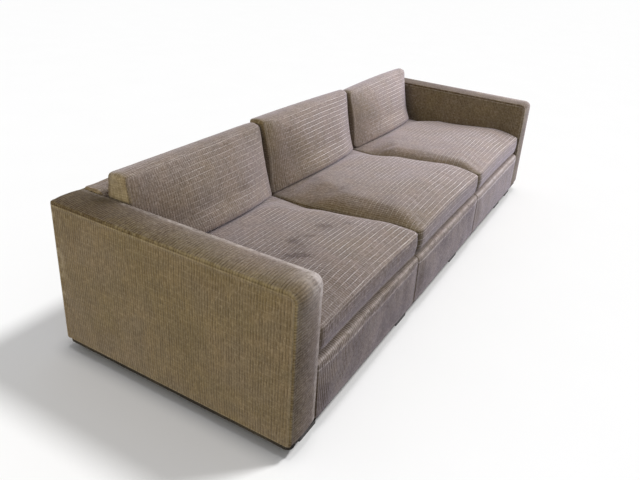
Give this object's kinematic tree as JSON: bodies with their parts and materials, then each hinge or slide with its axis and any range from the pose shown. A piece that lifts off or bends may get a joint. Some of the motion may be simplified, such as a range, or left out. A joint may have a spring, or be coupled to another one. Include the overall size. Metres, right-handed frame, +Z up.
{
  "type": "three-seat sofa",
  "caption": "Long low upholstered sofa in worn ribbed cloth, with square arms, loose seat and back cushions on a sprung wooden frame.",
  "frame": {"origin": "on the floor, under the middle of the sofa's bounding box", "axes": "+X along the length, to the right for a person who faces the front; the front faces -Y; +Z up"},
  "size_m": [2.28, 0.84, 0.608],
  "materials": {
    "ribbed_cloth": "worn ribbed chenille, matt with a pale sheen at a low angle",
    "lining_cloth": "plain dark lining cloth",
    "foam": "open-cell foam, yellowed",
    "frame_wood": "sawn, unfinished",
    "spring_steel": "drawn spring wire",
    "foot_black": "black, scuffed and dusty"
  },
  "bodies": {
    "root": {"back_cushion_1": "ribbed_cloth", "back_cushion_2": "ribbed_cloth", "back_cushion_3": "ribbed_cloth", "back_inner_cover": "ribbed_cloth", "back_outer_panel": "ribbed_cloth", "back_padding": "foam", "back_post_1": "frame_wood", "back_post_2": "frame_wood", "back_top_rail": "frame_wood", "cross_rail_1": "frame_wood", "cross_rail_2": "frame_wood", "dust_cover": "lining_cloth", "front_foot_1": "foot_black", "front_foot_2": "foot_black", "front_foot_3": "foot_black", "front_foot_4": "foot_black", "front_foot_5": "foot_black", "front_rail": "frame_wood", "left_arm_band": "ribbed_cloth", "left_arm_inner_panel": "ribbed_cloth", "left_arm_outer_panel": "ribbed_cloth", "left_arm_padding": "foam", "left_arm_rail": "frame_wood", "left_front_post": "frame_wood", "left_rear_post": "frame_wood", "left_side_rail": "frame_wood", "rail_panel_1": "ribbed_cloth", "rail_panel_2": "ribbed_cloth", "rail_panel_3": "ribbed_cloth", "rear_foot_1": "foot_black", "rear_foot_2": "foot_black", "rear_foot_3": "foot_black", "rear_foot_4": "foot_black", "rear_rail": "frame_wood", "right_arm_band": "ribbed_cloth", "right_arm_inner_panel": "ribbed_cloth", "right_arm_outer_panel": "ribbed_cloth", "right_arm_padding": "foam", "right_arm_rail": "frame_wood", "right_front_post": "frame_wood", "right_rear_post": "frame_wood", "right_side_rail": "frame_wood", "seat_cushion_case_1": "ribbed_cloth", "seat_cushion_case_2": "ribbed_cloth", "seat_cushion_case_3": "ribbed_cloth", "seat_cushion_foam_1": "foam", "seat_cushion_foam_2": "foam", "seat_cushion_foam_3": "foam", "seat_deck": "lining_cloth", "seat_spring_1": "spring_steel", "seat_spring_2": "spring_steel", "seat_spring_3": "spring_steel", "seat_spring_4": "spring_steel", "seat_spring_5": "spring_steel", "seat_spring_6": "spring_steel", "seat_spring_7": "spring_steel", "seat_spring_8": "spring_steel", "seat_spring_9": "spring_steel"}
  },
  "joints": []
}
